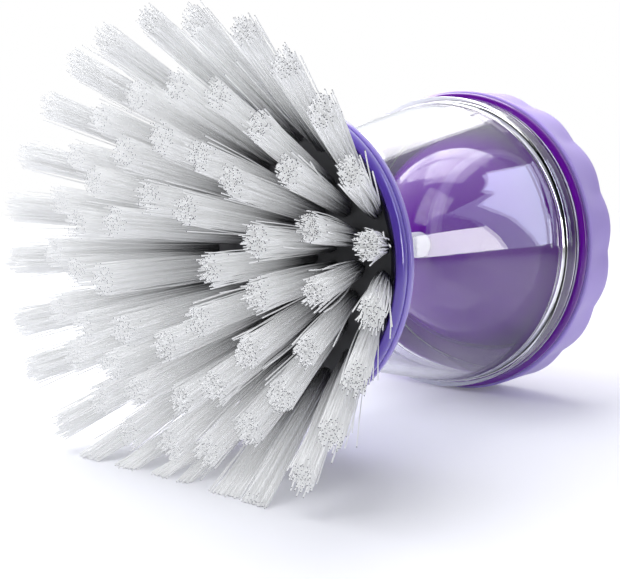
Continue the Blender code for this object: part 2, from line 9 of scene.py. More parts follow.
import json
import logging
import math
from dataclasses import dataclass, field
from enum import Enum
from typing import Callable, Sequence

import bmesh
import bpy
import numpy as np
from mathutils import Matrix, Vector
from mathutils.interpolate import poly_3d_calc

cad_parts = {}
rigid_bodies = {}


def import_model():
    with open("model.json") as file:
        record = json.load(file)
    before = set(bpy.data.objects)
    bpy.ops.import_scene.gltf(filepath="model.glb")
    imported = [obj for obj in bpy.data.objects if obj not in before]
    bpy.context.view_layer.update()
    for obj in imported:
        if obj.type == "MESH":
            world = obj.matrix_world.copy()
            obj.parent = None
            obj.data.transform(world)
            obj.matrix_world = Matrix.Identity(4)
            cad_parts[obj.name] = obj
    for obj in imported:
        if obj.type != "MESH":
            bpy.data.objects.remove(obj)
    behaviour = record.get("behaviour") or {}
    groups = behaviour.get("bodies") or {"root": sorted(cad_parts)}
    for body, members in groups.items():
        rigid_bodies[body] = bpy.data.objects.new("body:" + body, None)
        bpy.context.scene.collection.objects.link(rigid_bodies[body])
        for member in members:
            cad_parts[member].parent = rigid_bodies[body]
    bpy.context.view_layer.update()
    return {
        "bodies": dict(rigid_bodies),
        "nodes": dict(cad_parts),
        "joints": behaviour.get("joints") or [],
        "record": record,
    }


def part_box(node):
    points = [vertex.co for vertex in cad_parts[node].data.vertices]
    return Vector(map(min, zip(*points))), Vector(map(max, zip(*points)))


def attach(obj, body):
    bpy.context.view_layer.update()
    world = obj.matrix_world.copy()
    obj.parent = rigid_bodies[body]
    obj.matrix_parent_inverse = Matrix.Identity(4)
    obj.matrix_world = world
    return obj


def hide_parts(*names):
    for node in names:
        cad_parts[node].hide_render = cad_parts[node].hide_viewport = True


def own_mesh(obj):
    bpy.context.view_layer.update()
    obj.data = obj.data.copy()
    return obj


LOG = logging.getLogger("pot_brush")

MM = 0.001
MERGE = 0.002 * MM
UP = Vector((0, 0, 1))
ACROSS = Vector((0, 1, 0))
SMOOTH_ANGLE = math.radians(32)

Point = tuple[float, float]
Place = tuple[float, float, float]
Colour = tuple[float, float, float]
# Root points, free tip points and bows of a ring's filaments.
Run = tuple[np.ndarray, np.ndarray, np.ndarray]

WHITE: Colour = (1.0, 1.0, 1.0)
BLACK: Colour = (0.0, 0.0, 0.0)

# How finely a noise is broken up.
SOFT_DETAIL = 2.0
PLAIN_DETAIL = 3.0
RICH_DETAIL = 4.0


class Slot(Enum):
    """The material slots of the record."""

    CLEAR = "clear_plastic"
    PURPLE = "purple_gloss"
    VIOLET = "violet_gloss"
    LAVENDER = "lavender_soft"
    WHITE = "white_plastic"
    NYLON = "white_nylon"
    DARK = "dark_plastic"
    RUBBER = "pale_rubber"
    STEEL = "spring_steel"


class Body(Enum):
    """The bodies that the pieces ride on."""

    HANDLE = "handle"
    HEAD = "brush_head"
    LID = "lid"
    BUTTON = "button"


class Value:
    """A shader socket that takes part in Python expressions by adding Math nodes."""

    def __init__(self, sheet: MaterialSheet, socket: bpy.types.NodeSocket) -> None:
        """Wrap a socket of a sheet's node tree."""
        self.sheet = sheet
        self.socket = socket

    def _math(self, operation: str, *operands: Value | float) -> Value:
        """Add a Math node with these operands."""
        node = self.sheet.node("ShaderNodeMath", {"operation": operation},
                               {index: operand for index, operand in enumerate(operands)})
        return Value(self.sheet, node.outputs[0])

    def __add__(self, other: Value | float) -> Value:
        """Sum."""
        return self._math("ADD", self, other)

    __radd__ = __add__

    def __mul__(self, other: Value | float) -> Value:
        """Product."""
        return self._math("MULTIPLY", self, other)

    __rmul__ = __mul__

    def __sub__(self, other: Value | float) -> Value:
        """Difference."""
        return self._math("SUBTRACT", self, other)

    def __rsub__(self, other: Value | float) -> Value:
        """Reflected difference, so that 1 - mask works."""
        return self._math("SUBTRACT", other, self)

    def __gt__(self, other: Value | float) -> Value:
        """One where this is greater, and zero elsewhere."""
        return self._math("GREATER_THAN", self, other)

    def larger(self, other: Value | float) -> Value:
        """The larger of the two."""
        return self._math("MAXIMUM", self, other)

    def clamped(self) -> Value:
        """The value held between zero and one."""
        return self._math("MINIMUM", self.larger(0.0), 1.0)


class MaterialSheet:
    """One node material, written as expressions."""

    def __init__(self, name: str) -> None:
        """Start a material with an empty node tree.

        Args:
            name: the material's name.
        """
        self.material = bpy.data.materials.new(name)
        self.material.use_nodes = True
        self.take_tree(self.material.node_tree, "ShaderNodeOutputMaterial")

    @classmethod
    def of_tree(cls, tree: bpy.types.NodeTree, output: str) -> MaterialSheet:
        """Write on a tree that is no material's, such as a world's.

        Args:
            tree: the node tree, which is emptied.
            output: the type of its output node.

        Returns:
            The sheet, which has no material.
        """
        sheet = cls.__new__(cls)
        sheet.take_tree(tree, output)
        return sheet

    def take_tree(self, tree: bpy.types.NodeTree, output: str) -> None:
        """Empty a tree and give it an output node.

        Args:
            tree: the node tree.
            output: the type of its output node.
        """
        self.tree = tree
        self.tree.nodes.clear()
        self.output = self.tree.nodes.new(output)

    def node(self, kind: str, settings: dict[str, object] | None = None,
             inputs: dict[str | int, object] | None = None) -> bpy.types.Node:
        """Add a node.

        Args:
            kind: the node's type.
            settings: properties, which are set first.
            inputs: values or links of its sockets, by name or number.

        Returns:
            The new node.
        """
        made = self.tree.nodes.new(kind)
        for key, setting in (settings or {}).items():
            setattr(made, key, setting)
        for key, given in (inputs or {}).items():
            if isinstance(given, Value):
                self.tree.links.new(given.socket, made.inputs[key])
            elif isinstance(given, bpy.types.NodeSocket):
                self.tree.links.new(given, made.inputs[key])
            else:
                made.inputs[key].default_value = given
        return made

    def value(self, kind: str, output: str | int, settings: dict[str, object] | None = None,
              inputs: dict[str | int, object] | None = None) -> Value:
        """Add a node and wrap one of its outputs."""
        return Value(self, self.node(kind, settings, inputs).outputs[output])

    def place(self) -> Value:
        """The point in the object's own coordinates."""
        return self.value("ShaderNodeTexCoord", "Object")

    def noise(self, scale: float, detail: float = PLAIN_DETAIL) -> Value:
        """A noise between zero and one, with the given number of features to a metre."""
        inputs = {"Vector": self.place(), "Scale": scale, "Detail": detail}
        return self.value("ShaderNodeTexNoise", "Fac", None, inputs)

    def blend(self, share: Value | float, first: Value | Colour, second: Value | Colour) -> Value:
        """Mix two colours by a share."""
        inputs = {0: share, 6: opaque(first), 7: opaque(second)}
        return self.value("ShaderNodeMix", 2, {"data_type": "RGBA"}, inputs)

    def bump(self, height: Value, depth: float, strength: float) -> Value:
        """A surface normal bumped by a height of the given depth in metres."""
        inputs = {"Height": height, "Distance": depth, "Strength": strength}
        return self.value("ShaderNodeBump", "Normal", None, inputs)

    def principled(self, inputs: dict[str | int, object]) -> bpy.types.NodeSocket:
        """Add a Principled shader and return its output."""
        return self.node("ShaderNodeBsdfPrincipled", None, inputs).outputs[0]

    def emission(self, strength: Value | float, colour: Colour = WHITE) -> bpy.types.NodeSocket:
        """Add an emission of one colour and return its output."""
        inputs = {"Color": opaque(colour), "Strength": strength}
        return self.node("ShaderNodeEmission", None, inputs).outputs[0]

    def background(self, strength: Value | float, colour: Colour = WHITE) -> bpy.types.NodeSocket:
        """Add a world background of one colour and return its output."""
        inputs = {"Color": opaque(colour), "Strength": strength}
        return self.node("ShaderNodeBackground", None, inputs).outputs[0]

    def mixed(self, share: Value, first: bpy.types.NodeSocket,
              second: bpy.types.NodeSocket) -> bpy.types.NodeSocket:
        """Mix two shaders by a share and return the output."""
        return self.node("ShaderNodeMixShader", None, {0: share, 1: first, 2: second}).outputs[0]

    def light_path(self, fact: str) -> Value:
        """What is known of the ray that meets the surface."""
        return self.value("ShaderNodeLightPath", fact)

    def seen_rays(self) -> Value:
        """One on the rays with which the camera, gloss and clear pieces see the surround."""
        seen = self.light_path("Is Camera Ray").larger(self.light_path("Is Transmission Ray"))
        return seen.larger(self.light_path("Is Glossy Ray"))

    def mirrored_rays(self) -> Value:
        """One on the rays that some glossy surface has sent back, also where they then pass a clear wall."""
        return self.light_path("Glossy Depth") > 0.5

    def show(self, shader: bpy.types.NodeSocket) -> None:
        """Show a shader on the surface."""
        self.tree.links.new(shader, self.output.inputs["Surface"])

    def finish(self, shader: bpy.types.NodeSocket) -> bpy.types.Material:
        """Show a shader and return the material."""
        self.show(shader)
        return self.material


def opaque(colour: Value | Colour) -> object:
    """A colour with its alpha, or a link as it is."""
    return colour if isinstance(colour, Value) else (*colour, 1.0)


@dataclass(frozen=True)
class ClearPlastic:
    """Polished clear plastic, through which lamps light what is inside."""

    tint: Colour = (0.965, 0.970, 0.985)
    refraction: float = 1.49
    haze: float = 0.012
    haze_scale: float = 90.0

    def build(self, name: str) -> bpy.types.Material:
        """Make the material.

        Args:
            name: the material's name.

        Returns:
            The material.
        """
        sheet = MaterialSheet(name)
        wall = sheet.principled({
            "Base Color": opaque(self.tint), "Roughness": sheet.noise(self.haze_scale) * self.haze,
            "IOR": self.refraction, "Transmission Weight": 1.0})
        open_way = sheet.light_path("Is Shadow Ray").larger(sheet.light_path("Is Diffuse Ray"))
        clear = sheet.node("ShaderNodeBsdfTransparent", None, {"Color": opaque(self.tint)})
        return sheet.finish(sheet.mixed(open_way, wall, clear.outputs[0]))


@dataclass(frozen=True)
class GlossyPlastic:
    """Glossy moulded plastic with a trace of flow marks and fine handling scratches."""

    colour: Colour
    deep_colour: Colour
    roughness: float
    coat: float
    coat_roughness: float = 0.03
    flow_scale: float = 55.0
    scratch_scale: float = 2600.0
    wear: float = 0.05
    scratch_share: float = 0.04
    relief: float = 0.02 * MM
    relief_strength: float = 0.25

    def build(self, name: str) -> bpy.types.Material:
        """Make the material.

        Args:
            name: the material's name.

        Returns:
            The material.
        """
        sheet = MaterialSheet(name)
        flow = sheet.noise(self.flow_scale, SOFT_DETAIL)
        scratches = sheet.noise(self.scratch_scale, SOFT_DETAIL)
        return sheet.finish(sheet.principled({
            "Base Color": sheet.blend(flow, self.colour, self.deep_colour),
            "Roughness": flow * self.wear + scratches * self.wear + (self.roughness - self.wear),
            "Coat Weight": self.coat, "Coat Roughness": self.coat_roughness,
            "Normal": sheet.bump(flow + scratches * self.scratch_share, self.relief, self.relief_strength)}))


@dataclass(frozen=True)
class SoftTouch:
    """Satin soft-touch rubber with a fine moulded grain."""

    colour: Colour
    worn_colour: Colour
    roughness: float = 0.42
    roughness_range: float = 0.12
    sheen: float = 0.25
    sheen_roughness: float = 0.5
    grain_scale: float = 3800.0
    cloud_scale: float = 70.0
    cloud_share: float = 0.8
    grain_share: float = 0.2
    relief: float = 0.03 * MM
    relief_strength: float = 0.3

    def build(self, name: str) -> bpy.types.Material:
        """Make the material.

        Args:
            name: the material's name.

        Returns:
            The material.
        """
        sheet = MaterialSheet(name)
        grain = sheet.noise(self.grain_scale)
        cloud = sheet.noise(self.cloud_scale)
        worn = cloud * self.cloud_share + grain * self.grain_share
        return sheet.finish(sheet.principled({
            "Base Color": sheet.blend(worn, self.colour, self.worn_colour),
            "Roughness": cloud * self.roughness_range + (self.roughness - self.roughness_range / 2),
            "Sheen Weight": self.sheen, "Sheen Roughness": self.sheen_roughness,
            "Normal": sheet.bump(grain, self.relief, self.relief_strength)}))


@dataclass(frozen=True)
class MattPlastic:
    """Matt moulded plastic or rubber with a spark-eroded grain."""

    colour: Colour
    second_colour: Colour
    roughness: float
    roughness_range: float = 0.16
    grain_scale: float = 2400.0
    cloud_scale: float = 110.0
    cloud_share: float = 0.7
    grain_share: float = 0.3
    relief: float = 0.04 * MM
    relief_strength: float = 0.4

    def build(self, name: str) -> bpy.types.Material:
        """Make the material.

        Args:
            name: the material's name.

        Returns:
            The material.
        """
        sheet = MaterialSheet(name)
        grain = sheet.noise(self.grain_scale)
        cloud = sheet.noise(self.cloud_scale, RICH_DETAIL)
        mottled = cloud * self.cloud_share + grain * self.grain_share
        return sheet.finish(sheet.principled({
            "Base Color": sheet.blend(mottled, self.colour, self.second_colour),
            "Roughness": grain * self.roughness_range + (self.roughness - self.roughness_range / 2),
            "Normal": sheet.bump(grain, self.relief, self.relief_strength)}))


@dataclass(frozen=True)
class DrawnSteel:
    """Bright drawn wire and stamped sheet."""

    colour: Colour = (0.62, 0.62, 0.64)
    dulling: float = 0.82
    roughness: float = 0.16
    roughness_range: float = 0.2
    drawn_scale: float = 5200.0
    cloud_scale: float = 240.0
    relief: float = 0.01 * MM
    relief_strength: float = 0.3

    def build(self, name: str) -> bpy.types.Material:
        """Make the material.

        Args:
            name: the material's name.

        Returns:
            The material.
        """
        sheet = MaterialSheet(name)
        drawn = sheet.noise(self.drawn_scale, SOFT_DETAIL)
        cloud = sheet.noise(self.cloud_scale)
        dull = tuple(part * self.dulling for part in self.colour)
        return sheet.finish(sheet.principled({
            "Base Color": sheet.blend(cloud, self.colour, dull), "Metallic": 1.0,
            "Roughness": drawn * self.roughness_range + self.roughness,
            "Normal": sheet.bump(drawn, self.relief, self.relief_strength)}))


@dataclass(frozen=True)
class NylonFilament:
    """White nylon filament: painted shade greys it toward its root and greys most cut ends, a painted glow
    lights it toward its tip, and no two strands quite alike.
    """

    colour: Colour = (0.90, 0.905, 0.91)
    # The colour at the root is painted shade, which the random tint also leans to; the grey of most cut ends
    # is painted shade too.
    root_shade_and_tint_colour: Colour = (0.40, 0.40, 0.41)
    shaded_end_colour: Colour = (0.15, 0.15, 0.16)
    shaded_end_share: float = 0.75
    root_shade_fade: float = 2.2
    tint_share: float = 0.20
    roughness: float = 0.25
    roughness_range: float = 0.2
    # The glow is painted light that brightens the sides toward the tip.
    glow: float = 0.22
    painted_glow_slope: float = 1.25
    painted_glow_start: float = 0.25

    def build(self, name: str) -> bpy.types.Material:
        """Make the material from the strands' own map, across for the strand and along for its length.

        Args:
            name: the material's name.

        Returns:
            The material.
        """
        sheet = MaterialSheet(name)
        strand = sheet.node("ShaderNodeSeparateXYZ", None, {0: sheet.value("ShaderNodeUVMap", 0, {
            "uv_map": BristleRing.MAP_NAME})})
        across = Value(sheet, strand.outputs[0])
        along = Value(sheet, strand.outputs[1])
        tinted = sheet.blend(across * self.tint_share, self.colour, self.root_shade_and_tint_colour)
        # Painted shade: the sides turn grey toward the root.
        sides = sheet.blend((1 - along * self.root_shade_fade).clamped(), tinted, self.root_shade_and_tint_colour)
        # Painted shade: most cut ends are grey.
        ends = (along > 1 + BristleRing.END_MARGIN / 2) * (across > 1 - self.shaded_end_share)
        # Painted light: an emission that grows toward the tip makes the sides glow.
        light = sheet.blend((along * self.painted_glow_slope - self.painted_glow_start).clamped(), BLACK, self.colour)
        return sheet.finish(sheet.principled({
            "Base Color": sheet.blend(ends, sides, self.shaded_end_colour),
            "Roughness": across * self.roughness_range + self.roughness,
            "Emission Color": sheet.blend(ends, light, BLACK), "Emission Strength": self.glow}))


@dataclass
class Finishes:
    """The finish of each slot, made once, and a paler, lit copy of the violet for the collar's rear band,
    whose lightness is painted light.
    """

    made: dict[Slot, bpy.types.Material] = field(default_factory=dict)
    painted_lit_violet: bpy.types.Material | None = None

    def build(self) -> None:
        """Make every finish."""
        recipes = {
            Slot.CLEAR: ClearPlastic(),
            Slot.PURPLE: GlossyPlastic((0.15, 0.002, 0.34), (0.115, 0.001, 0.27), roughness=0.10, coat=0.35),
            Slot.VIOLET: GlossyPlastic((0.15, 0.08, 0.60), (0.11, 0.05, 0.50), roughness=0.16, coat=0.8),
            Slot.LAVENDER: SoftTouch((0.52, 0.395, 0.90), (0.465, 0.34, 0.84)),
            Slot.WHITE: MattPlastic((0.80, 0.81, 0.83), (0.74, 0.75, 0.77), roughness=0.34),
            Slot.NYLON: NylonFilament(),
            Slot.DARK: MattPlastic((0.13, 0.13, 0.135), (0.18, 0.18, 0.185), roughness=0.55),
            Slot.RUBBER: MattPlastic((0.60, 0.60, 0.66), (0.52, 0.52, 0.58), roughness=0.60),
            Slot.STEEL: DrawnSteel(),
        }
        for slot, recipe in recipes.items():
            self.made[slot] = recipe.build(slot.value)
        # Painted light: a paler copy of the violet gloss that stands for the overhead light on the collar's
        # rear band.
        pale = GlossyPlastic((0.36, 0.27, 0.83), (0.31, 0.22, 0.76), roughness=0.16, coat=0.8)
        self.painted_lit_violet = pale.build("violet_gloss_painted_lit")

    def dress(self, piece: bpy.types.Object, slot: Slot) -> None:
        """Give a piece one slot's finish."""
        piece.data.materials.clear()
        piece.data.materials.append(self.made[slot])


@dataclass(frozen=True)
class BrushAxis:
    """The line that the brush is turned about, as it lies."""

    SEAL_MIDDLE = -1.8 * MM

    origin: Vector
    direction: Vector

    @classmethod
    def from_frame(cls, frame: dict) -> BrushAxis:
        """Read the axis from the lid's joint and the middle of the ring gasket.


        Returns:
            The axis, whose origin is in the plane of the cap ring.
        """
        joint = next(joint for joint in frame["joints"] if joint["name"] == "lid_lift")
        direction = Vector(joint["axis"]).normalized()
        low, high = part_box("ring_gasket")
        return cls((low + high) / 2 - direction * cls.SEAL_MIDDLE, direction)

    def matrix(self) -> Matrix:
        """Find where the upright brush goes.

        Returns:
            The matrix, by which its -X becomes up and its Y stays across.
        """
        down = ACROSS.cross(self.direction)
        turn = Matrix((down, ACROSS, self.direction)).transposed()
        return Matrix.Translation(self.origin) @ turn.to_4x4()

    def lay(self, piece: bpy.types.Object) -> None:
        """Lay a piece that was modelled upright onto the axis, with its place in its mesh.

        Args:
            piece: the upright piece.
        """
        piece.data.transform(self.matrix() @ piece.matrix_world)
        piece.matrix_world = Matrix.Identity(4)
        piece.data.update()


def deselect_all() -> None:
    """Leave edit mode and deselect everything."""
    if bpy.context.object and bpy.context.object.mode != "OBJECT":
        bpy.ops.object.mode_set(mode="OBJECT")
    bpy.ops.object.select_all(action="DESELECT")


def select_in_mesh(piece: bpy.types.Object, wanted: Callable[[bmesh.types.BMVert], bool]) -> None:
    """Select some vertices in edit mode.

    Args:
        piece: the piece that is edited.
        wanted: the test that picks the vertices.
    """
    bpy.ops.mesh.select_mode(type="VERT")
    bpy.ops.mesh.select_all(action="DESELECT")
    shape = bmesh.from_edit_mesh(piece.data)
    for corner in shape.verts:
        corner.select_set(wanted(corner))
    shape.select_flush_mode()
    bmesh.update_edit_mesh(piece.data)


def metres(outline: Sequence[Point]) -> list[Point]:
    """An outline of (radius, height) in millimetres, in metres."""
    return [(radius * MM, height * MM) for radius, height in outline]


@dataclass(frozen=True)
class Profile:
    """All there is to a simple turned piece. Its outline and the rounding of its edges are in millimetres."""

    name: str
    node: str
    body: Body
    slot: Slot
    outline: tuple[Point, ...]
    steps: int
    edge: float = 0.0
    segments: int = 2


@dataclass(frozen=True)
class Lathe:
    """Turns outlines of (radius, height) points about +Z with edit-mode operators."""

    axis: BrushAxis
    finishes: Finishes

    def turn(self, name: str, outline: Sequence[Point], steps: int) -> bpy.types.Object:
        """Turn an outline into an upright piece.

        Args:
            name: the piece's name.
            outline: points of radius and height; a piece that starts and ends on the axis is solid, any other
                is a ring whose last point joins its first.
            steps: facets round the turn.

        Returns:
            The piece, upright and undressed.
        """
        deselect_all()
        start = outline[0]
        bpy.ops.mesh.primitive_plane_add(size=MM, location=(start[0], 0, start[1]))
        piece = bpy.context.object
        piece.name = name
        piece.data.name = name
        bpy.ops.object.transform_apply(location=True, rotation=True, scale=True)
        bpy.ops.object.mode_set(mode="EDIT")
        bpy.ops.mesh.select_all(action="SELECT")
        bpy.ops.mesh.merge(type="CENTER")
        for here, there in zip(outline, outline[1:]):
            step = (there[0] - here[0], 0, there[1] - here[1])
            bpy.ops.mesh.extrude_region_move(TRANSFORM_OT_translate={"value": step})
        solid = outline[0][0] == 0 and outline[-1][0] == 0
        if not solid:
            ends = {0, len(outline) - 1}
            select_in_mesh(piece, lambda corner: corner.index in ends)
            bpy.ops.mesh.edge_face_add()
        bpy.ops.mesh.select_all(action="SELECT")
        bpy.ops.mesh.spin(steps=steps, angle=math.tau, center=(0, 0, 0), axis=(0, 0, 1))
        bpy.ops.mesh.select_all(action="SELECT")
        bpy.ops.mesh.remove_doubles(threshold=MERGE)
        bpy.ops.mesh.normals_make_consistent(inside=False)
        bpy.ops.object.mode_set(mode="OBJECT")
        return piece

    def round_edges(self, piece: bpy.types.Object, width: float, segments: int) -> None:
        """Round the sharp edges of a piece with an applied bevel.

        Args:
            piece: the upright piece.
            width: how far the rounding reaches from the edge.
            segments: facets across the rounding.
        """
        bevel = piece.modifiers.new("edges", "BEVEL")
        bevel.width = width
        bevel.segments = segments
        bevel.limit_method = "ANGLE"
        bevel.angle_limit = SMOOTH_ANGLE
        bpy.context.view_layer.objects.active = piece
        bpy.ops.object.modifier_apply(modifier=bevel.name)

    def complete(self, piece: bpy.types.Object, body: Body, slot: Slot, node: str) -> bpy.types.Object:
        """Smooth, lay over and dress a piece, and hang it on its body.

        Args:
            piece: the upright piece.
            body: what it rides on.
            slot: what it is finished with.
            node: the node of the frame that it stands for.

        Returns:
            The piece.
        """
        deselect_all()
        piece.select_set(True)
        bpy.context.view_layer.objects.active = piece
        bpy.ops.object.shade_smooth_by_angle(angle=SMOOTH_ANGLE)
        piece.select_set(False)
        self.axis.lay(piece)
        self.finishes.dress(piece, slot)
        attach(piece, body.value)
        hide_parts(node)
        LOG.info("%s: %d faces", piece.name, len(piece.data.polygons))
        return piece

    def make(self, profile: Profile) -> bpy.types.Object:
        """Make a simple turned piece.

        Args:
            profile: all there is to it.

        Returns:
            The finished piece.
        """
        piece = self.turn(profile.name, metres(profile.outline), profile.steps)
        if profile.edge:
            self.round_edges(piece, profile.edge * MM, profile.segments)
        return self.complete(piece, profile.body, profile.slot, profile.node)


@dataclass
class Barrel:
    """The clear barrel with its thick lip, the seal on it, and the tube and bulkhead inside."""

    neck_radius: float = 21.2 * MM
    neck_depth: float = 3.0 * MM
    shoulder_radius: float = 32.9 * MM
    mouth_radius: float = 34.4 * MM
    bulge: float = 0.8 * MM
    wall: float = 2.0 * MM
    bottom: float = -56.4 * MM
    taper_top: float = -7.4 * MM
    lip_bottom: float = -6.4 * MM
    top: float = -1.0 * MM
    lip_bore: float = 31.6 * MM
    edge: float = 0.3 * MM
    edge_segments: int = 3
    steps: int = 192
    rings: int = 26
    seal: Profile = Profile(
        "barrel_seal", "ring_gasket", Body.HANDLE, Slot.RUBBER, steps=192, edge=0.15, outline=(
            (31.9, -0.9), (34.0, -0.9), (34.0, -0.3), (31.9, -0.3)))
    tube: Profile = Profile(
        "soap_tube", "outlet_tube", Body.HANDLE, Slot.WHITE, steps=64, edge=0.25, outline=(
            (2.4, -55.8), (3.0, -55.8), (3.0, -14.7), (2.4, -14.7)))
    bulkhead: Profile = Profile(
        "bulkhead_disc", "bulkhead", Body.HANDLE, Slot.WHITE, steps=128, edge=0.2, outline=(
            (3.6, -58.3), (18.9, -58.3), (18.9, -56.7), (6.6, -56.7), (6.6, -52.1), (3.3, -52.1),
            (3.3, -55.9), (5.3, -55.9), (5.3, -57.8), (3.6, -57.8)))

    @property
    def taper_bottom(self) -> float:
        """Height at which the straight neck ends and the taper starts."""
        return self.bottom + self.neck_depth

    def radius(self, height: float) -> float:
        """Find the barrel's outer radius at a height of its taper.

        Args:
            height: a height between the neck and the lip.

        Returns:
            The radius.
        """
        share = (height - self.taper_bottom) / (self.taper_top - self.taper_bottom)
        straight = self.neck_radius + (self.shoulder_radius - self.neck_radius) * share
        return straight + self.bulge * math.sin(math.pi * share)

    def build(self, lathe: Lathe) -> bpy.types.Object:
        """Model and dress the barrel's pieces.

        Args:
            lathe: what turns and finishes them.

        Returns:
            The clear shell.
        """
        heights = [self.taper_bottom + (self.taper_top - self.taper_bottom) * step / self.rings
                   for step in range(self.rings + 1)]
        outer = [(self.neck_radius, self.bottom)] + [(self.radius(height), height) for height in heights]
        inner = [(radius - self.wall, height) for radius, height in outer]
        lip = [(self.mouth_radius, self.lip_bottom), (self.mouth_radius, self.top),
               (self.lip_bore, self.top), (self.lip_bore, self.lip_bottom)]
        shell = lathe.turn("barrel_clear", outer + lip + inner[::-1], self.steps)
        lathe.round_edges(shell, self.edge, self.edge_segments)
        lathe.complete(shell, Body.HANDLE, Slot.CLEAR, "clear_shell")
        for profile in (self.seal, self.tube, self.bulkhead):
            lathe.make(profile)
        return shell


@dataclass
class Cap:
    """The glossy cap ring, the scalloped grip round it and the domed soap cup inside it."""

    ring: Profile = Profile(
        "cap_band", "cap_ring", Body.HANDLE, Slot.PURPLE, steps=192, edge=0.55, segments=4, outline=(
            (31.6, -0.2), (35.4, -0.2), (35.4, 1.5), (33.4, 1.5), (33.4, 8.4), (31.6, 8.4)))
    grip_bore: float = 33.7 * MM
    grip_radius: float = 36.0 * MM
    grip_bottom: float = 1.8 * MM
    grip_top: float = 12.4 * MM
    low_edge: float = 0.5 * MM
    high_edge: float = 1.3 * MM
    edge_steps: int = 5
    side_shares: tuple[float, ...] = (0.25, 0.5, 0.7)
    scallops: int = 16
    scallop_depth: float = 0.9 * MM
    scallop_softness: float = 0.012
    scallop_run: float = 5 * MM
    bore_margin: float = 0.2 * MM
    steps: int = 192
    cup_radius: float = 27.9 * MM
    cup_wall: float = 1.6 * MM
    cup_centre: float = 13.5 * MM
    cup_lip_radius: float = 33.2 * MM
    cup_lip_bottom: float = 9.5 * MM
    cup_lip_top: float = 11.0 * MM
    cup_arcs: int = 30
    spigot_radius: float = 2.3 * MM
    spigot_bore: float = 1.9 * MM
    spigot_length: float = 5.5 * MM

    def build(self, lathe: Lathe) -> bpy.types.Object:
        """Model and dress the cap's pieces.

        Args:
            lathe: what turns and finishes them.

        Returns:
            The domed cup.
        """
        lathe.make(self.ring)
        self.build_grip(lathe)
        return self.build_cup(lathe)

    def scallop(self, turn: float) -> float:
        """How deep the grip's edge lies at a turn, from 0 on a lobe to 1 in a valley."""
        wave = math.sqrt(math.sin(self.scallops * turn / 2) ** 2 + self.scallop_softness)
        return max(0.0, 1 - wave)

    def build_grip(self, lathe: Lathe) -> None:
        """Model the grip as a turned ring, and press its scallops in.

        Args:
            lathe: what turns and finishes it.
        """
        crown = [math.pi / 2 * step / self.edge_steps for step in range(self.edge_steps + 1)]
        low = [(self.grip_radius - self.low_edge * (1 - math.sin(turn)),
                self.grip_bottom + self.low_edge * (1 - math.cos(turn))) for turn in crown]
        high = [(self.grip_radius - self.high_edge * (1 - math.cos(turn)),
                 self.grip_top - self.high_edge * (1 - math.sin(turn))) for turn in crown]
        side = [(self.grip_radius, self.grip_bottom + (self.grip_top - self.grip_bottom) * share)
                for share in self.side_shares]
        outline = [(self.grip_bore, self.grip_bottom), *low, *side, *high, (self.grip_bore, self.grip_top)]
        grip = lathe.turn("scalloped_grip", outline, self.steps)
        for corner in grip.data.vertices:
            radius = math.hypot(corner.co.x, corner.co.y)
            if radius < self.grip_bore + self.bore_margin:
                continue
            turn = math.atan2(corner.co.y, corner.co.x)
            share = min(1.0, (corner.co.z - self.grip_bottom) / self.scallop_run)
            scale = 1 - self.scallop_depth * share * self.scallop(turn) / radius
            corner.co.x *= scale
            corner.co.y *= scale
        lathe.complete(grip, Body.HANDLE, Slot.LAVENDER, "flower_grip")

    def arc(self, radius: float, start: float, end: float) -> list[Point]:
        """Find points of the dome's lower half.

        Args:
            radius: the dome's radius.
            start: distance from the axis of the first point.
            end: distance from the axis of the last point.

        Returns:
            Points of radius and height.
        """
        first = math.asin(start / radius)
        last = math.asin(end / radius)
        turns = [first + (last - first) * step / self.cup_arcs for step in range(self.cup_arcs + 1)]
        return [(radius * math.sin(turn), self.cup_centre - radius * math.cos(turn)) for turn in turns]

    def build_cup(self, lathe: Lathe) -> bpy.types.Object:
        """Model the domed cup with its lip and its spigot.

        Args:
            lathe: what turns and finishes it.

        Returns:
            The cup.
        """
        inner_radius = self.cup_radius - self.cup_wall
        outer_end = math.sqrt(self.cup_radius ** 2 - (self.cup_centre - self.cup_lip_bottom) ** 2)
        inner_end = math.sqrt(inner_radius ** 2 - (self.cup_centre - self.cup_lip_top) ** 2)
        outer = self.arc(self.cup_radius, self.spigot_radius, outer_end)
        inner = self.arc(inner_radius, self.spigot_bore, inner_end)
        spigot_bottom = outer[0][1] - self.spigot_length
        outline = [(self.spigot_bore, spigot_bottom), (self.spigot_radius, spigot_bottom), *outer,
                   (self.cup_lip_radius, self.cup_lip_bottom), (self.cup_lip_radius, self.cup_lip_top),
                   *inner[::-1]]
        cup = lathe.turn("soap_dome", outline, self.steps)
        return lathe.complete(cup, Body.HANDLE, Slot.PURPLE, "soap_cup")


